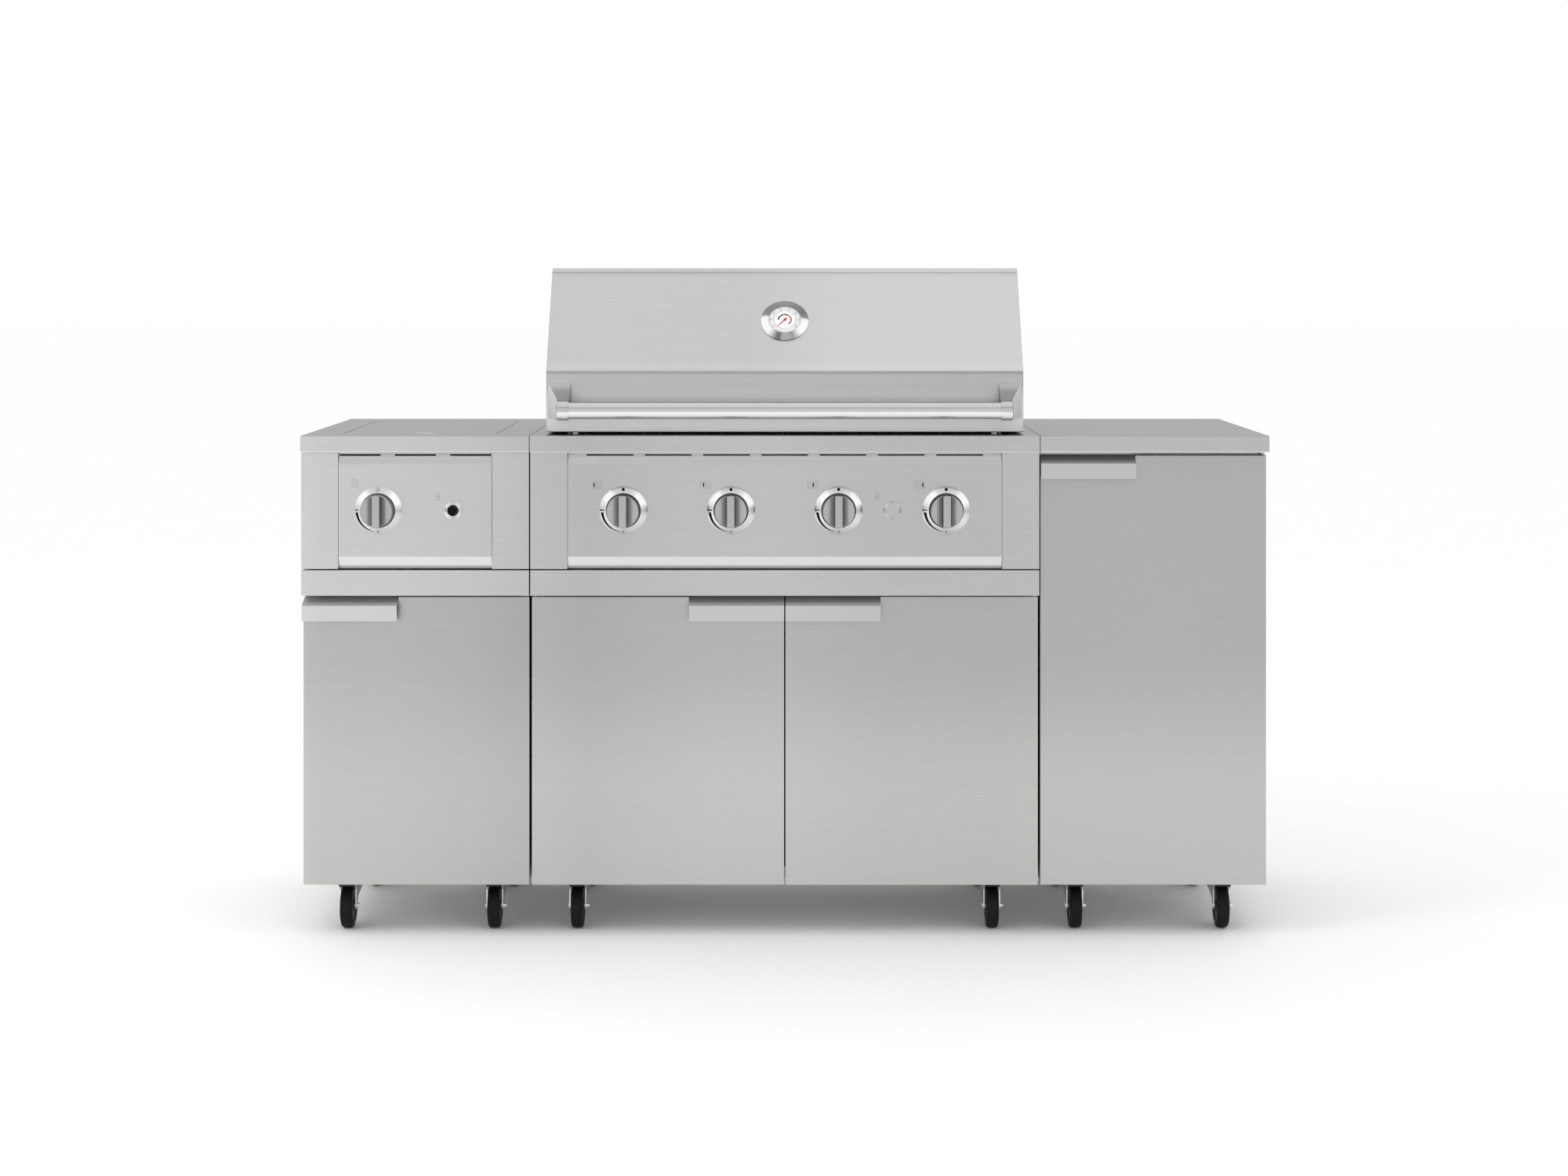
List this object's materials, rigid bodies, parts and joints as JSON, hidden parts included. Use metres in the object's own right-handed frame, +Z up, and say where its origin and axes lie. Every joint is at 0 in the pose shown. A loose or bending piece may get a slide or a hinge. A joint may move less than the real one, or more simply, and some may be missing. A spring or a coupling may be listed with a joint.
{
  "type": "outdoor kitchen island",
  "caption": "Outdoor kitchen island in brushed stainless steel: a hooded gas grill between a lidded side burner and a tall cupboard, with doors below, on casters.",
  "frame": {"origin": "on the floor, under the middle of the island's length and depth, the hood handle counted in the depth", "axes": "+X to the right along the island, +Y from the front to the back, +Z up"},
  "size_m": [1.7506, 0.637, 1.213],
  "materials": {
    "brushed": "brushed",
    "polished": "polished",
    "inner": "satin",
    "enamel": "matt enamel",
    "button": "gloss",
    "zinc": "bright zinc",
    "tread": "matt"
  },
  "bodies": {
    "island": {"left_cabinet": "brushed", "centre_cabinet": "brushed", "right_cabinet": "brushed", "side_burner_housing": "brushed", "grill_housing": "brushed", "side_burner_panel": "brushed", "grill_control_panel": "brushed", "side_burner_worktop": "brushed", "grill_worktop": "brushed", "right_worktop": "brushed", "burner_set": "inner", "left_cooking_grate": "inner", "right_cooking_grate": "inner", "warming_rack": "polished", "side_burner": "inner", "pan_support": "enamel"},
    "hood": {"hood": "brushed", "hood_handle": "polished", "thermometer": "polished"},
    "side_burner_lid": {"side_burner_lid": "brushed"},
    "left_door": {"left_door": "brushed", "left_door_pull": "brushed"},
    "centre_left_door": {"centre_left_door": "brushed", "centre_left_door_pull": "brushed"},
    "centre_right_door": {"centre_right_door": "brushed", "centre_right_door_pull": "brushed"},
    "right_door": {"right_door": "brushed", "right_door_pull": "brushed"},
    "side_burner_knob": {"side_burner_knob": "polished"},
    "knob_1": {"knob_1": "polished"},
    "knob_2": {"knob_2": "polished"},
    "knob_3": {"knob_3": "polished"},
    "knob_4": {"knob_4": "polished"},
    "grill_igniter_button": {"grill_igniter_button": "brushed"},
    "side_igniter_button": {"side_igniter_button": "button"},
    "grease_tray": {"grease_tray": "inner"},
    "left_front_left_fork": {"left_front_left_fork": "zinc"},
    "left_front_left_wheel": {"left_front_left_wheel": "tread"},
    "left_front_right_fork": {"left_front_right_fork": "zinc"},
    "left_front_right_wheel": {"left_front_right_wheel": "tread"},
    "left_rear_left_fork": {"left_rear_left_fork": "zinc"},
    "left_rear_left_wheel": {"left_rear_left_wheel": "tread"},
    "left_rear_right_fork": {"left_rear_right_fork": "zinc"},
    "left_rear_right_wheel": {"left_rear_right_wheel": "tread"},
    "centre_front_left_fork": {"centre_front_left_fork": "zinc"},
    "centre_front_left_wheel": {"centre_front_left_wheel": "tread"},
    "centre_front_right_fork": {"centre_front_right_fork": "zinc"},
    "centre_front_right_wheel": {"centre_front_right_wheel": "tread"},
    "centre_rear_left_fork": {"centre_rear_left_fork": "zinc"},
    "centre_rear_left_wheel": {"centre_rear_left_wheel": "tread"},
    "centre_rear_right_fork": {"centre_rear_right_fork": "zinc"},
    "centre_rear_right_wheel": {"centre_rear_right_wheel": "tread"},
    "right_front_left_fork": {"right_front_left_fork": "zinc"},
    "right_front_left_wheel": {"right_front_left_wheel": "tread"},
    "right_front_right_fork": {"right_front_right_fork": "zinc"},
    "right_front_right_wheel": {"right_front_right_wheel": "tread"},
    "right_rear_left_fork": {"right_rear_left_fork": "zinc"},
    "right_rear_left_wheel": {"right_rear_left_wheel": "tread"},
    "right_rear_right_fork": {"right_rear_right_fork": "zinc"},
    "right_rear_right_wheel": {"right_rear_right_wheel": "tread"}
  },
  "joints": [
    {"name": "hood_hinge", "type": "hinge", "parent": "island", "child": "hood", "pos_m": [0, 0.2385, 0.9595], "axis": [-1, 0, 0], "range_deg": [0, 80]},
    {"name": "side_burner_lid_hinge", "type": "hinge", "parent": "island", "child": "side_burner_lid", "pos_m": [-0.6683, 0.2315, 0.906], "axis": [-1, 0, 0], "range_deg": [0, 95]},
    {"name": "left_door_hinge", "type": "hinge", "parent": "island", "child": "left_door", "pos_m": [-0.4693, -0.2505, 0.355], "axis": [0, 0, 1], "range_deg": [0, 85]},
    {"name": "centre_left_door_hinge", "type": "hinge", "parent": "island", "child": "centre_left_door", "pos_m": [-0.453, -0.2505, 0.355], "axis": [0, 0, -1], "range_deg": [0, 85]},
    {"name": "centre_right_door_hinge", "type": "hinge", "parent": "island", "child": "centre_right_door", "pos_m": [0.453, -0.2505, 0.355], "axis": [0, 0, 1], "range_deg": [0, 85]},
    {"name": "right_door_hinge", "type": "hinge", "parent": "island", "child": "right_door", "pos_m": [0.8673, -0.2505, 0.484], "axis": [0, 0, 1], "range_deg": [0, 85]},
    {"name": "side_burner_knob_turn", "type": "hinge", "parent": "island", "child": "side_burner_knob", "pos_m": [-0.7349, -0.2755, 0.775], "axis": [0, -1, 0], "range_deg": [0, 180]},
    {"name": "knob_1_turn", "type": "hinge", "parent": "island", "child": "knob_1", "pos_m": [-0.2916, -0.2755, 0.775], "axis": [0, -1, 0], "range_deg": [0, 180]},
    {"name": "knob_2_turn", "type": "hinge", "parent": "island", "child": "knob_2", "pos_m": [-0.0972, -0.2755, 0.775], "axis": [0, -1, 0], "range_deg": [0, 180]},
    {"name": "knob_3_turn", "type": "hinge", "parent": "island", "child": "knob_3", "pos_m": [0.0972, -0.2755, 0.775], "axis": [0, -1, 0], "range_deg": [0, 180]},
    {"name": "knob_4_turn", "type": "hinge", "parent": "island", "child": "knob_4", "pos_m": [0.2916, -0.2755, 0.775], "axis": [0, -1, 0], "range_deg": [0, 180]},
    {"name": "grill_igniter_press", "type": "slide", "parent": "island", "child": "grill_igniter_button", "axis": [0, 1, 0], "range_m": [0, 0.004], "stiffness_N_per_m": 300},
    {"name": "side_igniter_press", "type": "slide", "parent": "island", "child": "side_igniter_button", "axis": [0, 1, 0], "range_m": [0, 0.004], "stiffness_N_per_m": 300},
    {"name": "grease_tray_slide", "type": "slide", "parent": "island", "child": "grease_tray", "axis": [0, 1, 0], "range_m": [0, 0.38]},
    {"name": "left_front_left_swivel", "type": "hinge", "parent": "island", "child": "left_front_left_fork", "pos_m": [-0.8032, -0.1445, 0.097], "axis": [0, 0, 1], "continuous": true},
    {"name": "left_front_left_axle", "type": "hinge", "parent": "left_front_left_fork", "child": "left_front_left_wheel", "pos_m": [-0.8032, -0.1775, 0.04], "axis": [1, 0, 0], "continuous": true},
    {"name": "left_front_right_swivel", "type": "hinge", "parent": "island", "child": "left_front_right_fork", "pos_m": [-0.5334, -0.1445, 0.097], "axis": [0, 0, 1], "continuous": true},
    {"name": "left_front_right_axle", "type": "hinge", "parent": "left_front_right_fork", "child": "left_front_right_wheel", "pos_m": [-0.5334, -0.1775, 0.04], "axis": [1, 0, 0], "continuous": true},
    {"name": "left_rear_left_swivel", "type": "hinge", "parent": "island", "child": "left_rear_left_fork", "pos_m": [-0.8032, 0.2185, 0.097], "axis": [0, 0, 1], "continuous": true},
    {"name": "left_rear_left_axle", "type": "hinge", "parent": "left_rear_left_fork", "child": "left_rear_left_wheel", "pos_m": [-0.8032, 0.1855, 0.04], "axis": [1, 0, 0], "continuous": true},
    {"name": "left_rear_right_swivel", "type": "hinge", "parent": "island", "child": "left_rear_right_fork", "pos_m": [-0.5334, 0.2185, 0.097], "axis": [0, 0, 1], "continuous": true},
    {"name": "left_rear_right_axle", "type": "hinge", "parent": "left_rear_right_fork", "child": "left_rear_right_wheel", "pos_m": [-0.5334, 0.1855, 0.04], "axis": [1, 0, 0], "continuous": true},
    {"name": "centre_front_left_swivel", "type": "hinge", "parent": "island", "child": "centre_front_left_fork", "pos_m": [-0.3807, -0.1445, 0.097], "axis": [0, 0, 1], "continuous": true},
    {"name": "centre_front_left_axle", "type": "hinge", "parent": "centre_front_left_fork", "child": "centre_front_left_wheel", "pos_m": [-0.3807, -0.1775, 0.04], "axis": [1, 0, 0], "continuous": true},
    {"name": "centre_front_right_swivel", "type": "hinge", "parent": "island", "child": "centre_front_right_fork", "pos_m": [0.3807, -0.1445, 0.097], "axis": [0, 0, 1], "continuous": true},
    {"name": "centre_front_right_axle", "type": "hinge", "parent": "centre_front_right_fork", "child": "centre_front_right_wheel", "pos_m": [0.3807, -0.1775, 0.04], "axis": [1, 0, 0], "continuous": true},
    {"name": "centre_rear_left_swivel", "type": "hinge", "parent": "island", "child": "centre_rear_left_fork", "pos_m": [-0.3807, 0.2185, 0.097], "axis": [0, 0, 1], "continuous": true},
    {"name": "centre_rear_left_axle", "type": "hinge", "parent": "centre_rear_left_fork", "child": "centre_rear_left_wheel", "pos_m": [-0.3807, 0.1855, 0.04], "axis": [1, 0, 0], "continuous": true},
    {"name": "centre_rear_right_swivel", "type": "hinge", "parent": "island", "child": "centre_rear_right_fork", "pos_m": [0.3807, 0.2185, 0.097], "axis": [0, 0, 1], "continuous": true},
    {"name": "centre_rear_right_axle", "type": "hinge", "parent": "centre_rear_right_fork", "child": "centre_rear_right_wheel", "pos_m": [0.3807, 0.1855, 0.04], "axis": [1, 0, 0], "continuous": true},
    {"name": "right_front_left_swivel", "type": "hinge", "parent": "island", "child": "right_front_left_fork", "pos_m": [0.5334, -0.1445, 0.097], "axis": [0, 0, 1], "continuous": true},
    {"name": "right_front_left_axle", "type": "hinge", "parent": "right_front_left_fork", "child": "right_front_left_wheel", "pos_m": [0.5334, -0.1775, 0.04], "axis": [1, 0, 0], "continuous": true},
    {"name": "right_front_right_swivel", "type": "hinge", "parent": "island", "child": "right_front_right_fork", "pos_m": [0.8032, -0.1445, 0.097], "axis": [0, 0, 1], "continuous": true},
    {"name": "right_front_right_axle", "type": "hinge", "parent": "right_front_right_fork", "child": "right_front_right_wheel", "pos_m": [0.8032, -0.1775, 0.04], "axis": [1, 0, 0], "continuous": true},
    {"name": "right_rear_left_swivel", "type": "hinge", "parent": "island", "child": "right_rear_left_fork", "pos_m": [0.5334, 0.2185, 0.097], "axis": [0, 0, 1], "continuous": true},
    {"name": "right_rear_left_axle", "type": "hinge", "parent": "right_rear_left_fork", "child": "right_rear_left_wheel", "pos_m": [0.5334, 0.1855, 0.04], "axis": [1, 0, 0], "continuous": true},
    {"name": "right_rear_right_swivel", "type": "hinge", "parent": "island", "child": "right_rear_right_fork", "pos_m": [0.8032, 0.2185, 0.097], "axis": [0, 0, 1], "continuous": true},
    {"name": "right_rear_right_axle", "type": "hinge", "parent": "right_rear_right_fork", "child": "right_rear_right_wheel", "pos_m": [0.8032, 0.1855, 0.04], "axis": [1, 0, 0], "continuous": true}
  ]
}
